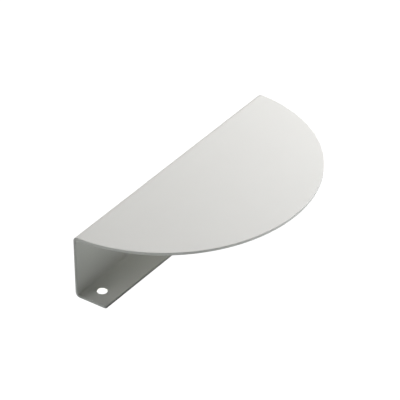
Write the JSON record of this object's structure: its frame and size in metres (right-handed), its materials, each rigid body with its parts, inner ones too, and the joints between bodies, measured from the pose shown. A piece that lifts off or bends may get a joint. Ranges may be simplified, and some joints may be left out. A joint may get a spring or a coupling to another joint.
{
  "type": "lip pull",
  "caption": "Folded sheet lip pull with a half-moon grip plate, an upright web over the board's edge and a return flange screwed to the board.",
  "frame": {"origin": "on the flange's seat face, the one that lies against the board, midway between the two screw holes", "axes": "+X along the folds, +Y out of the back of the web, +Z from the flange to the half-moon plate"},
  "size_m": [0.15, 0.075, 0.0345],
  "materials": {
    "powder_coat": "matt pale warm grey powder coat"
  },
  "bodies": {
    "root": {"lip_pull": "powder_coat"}
  },
  "joints": []
}
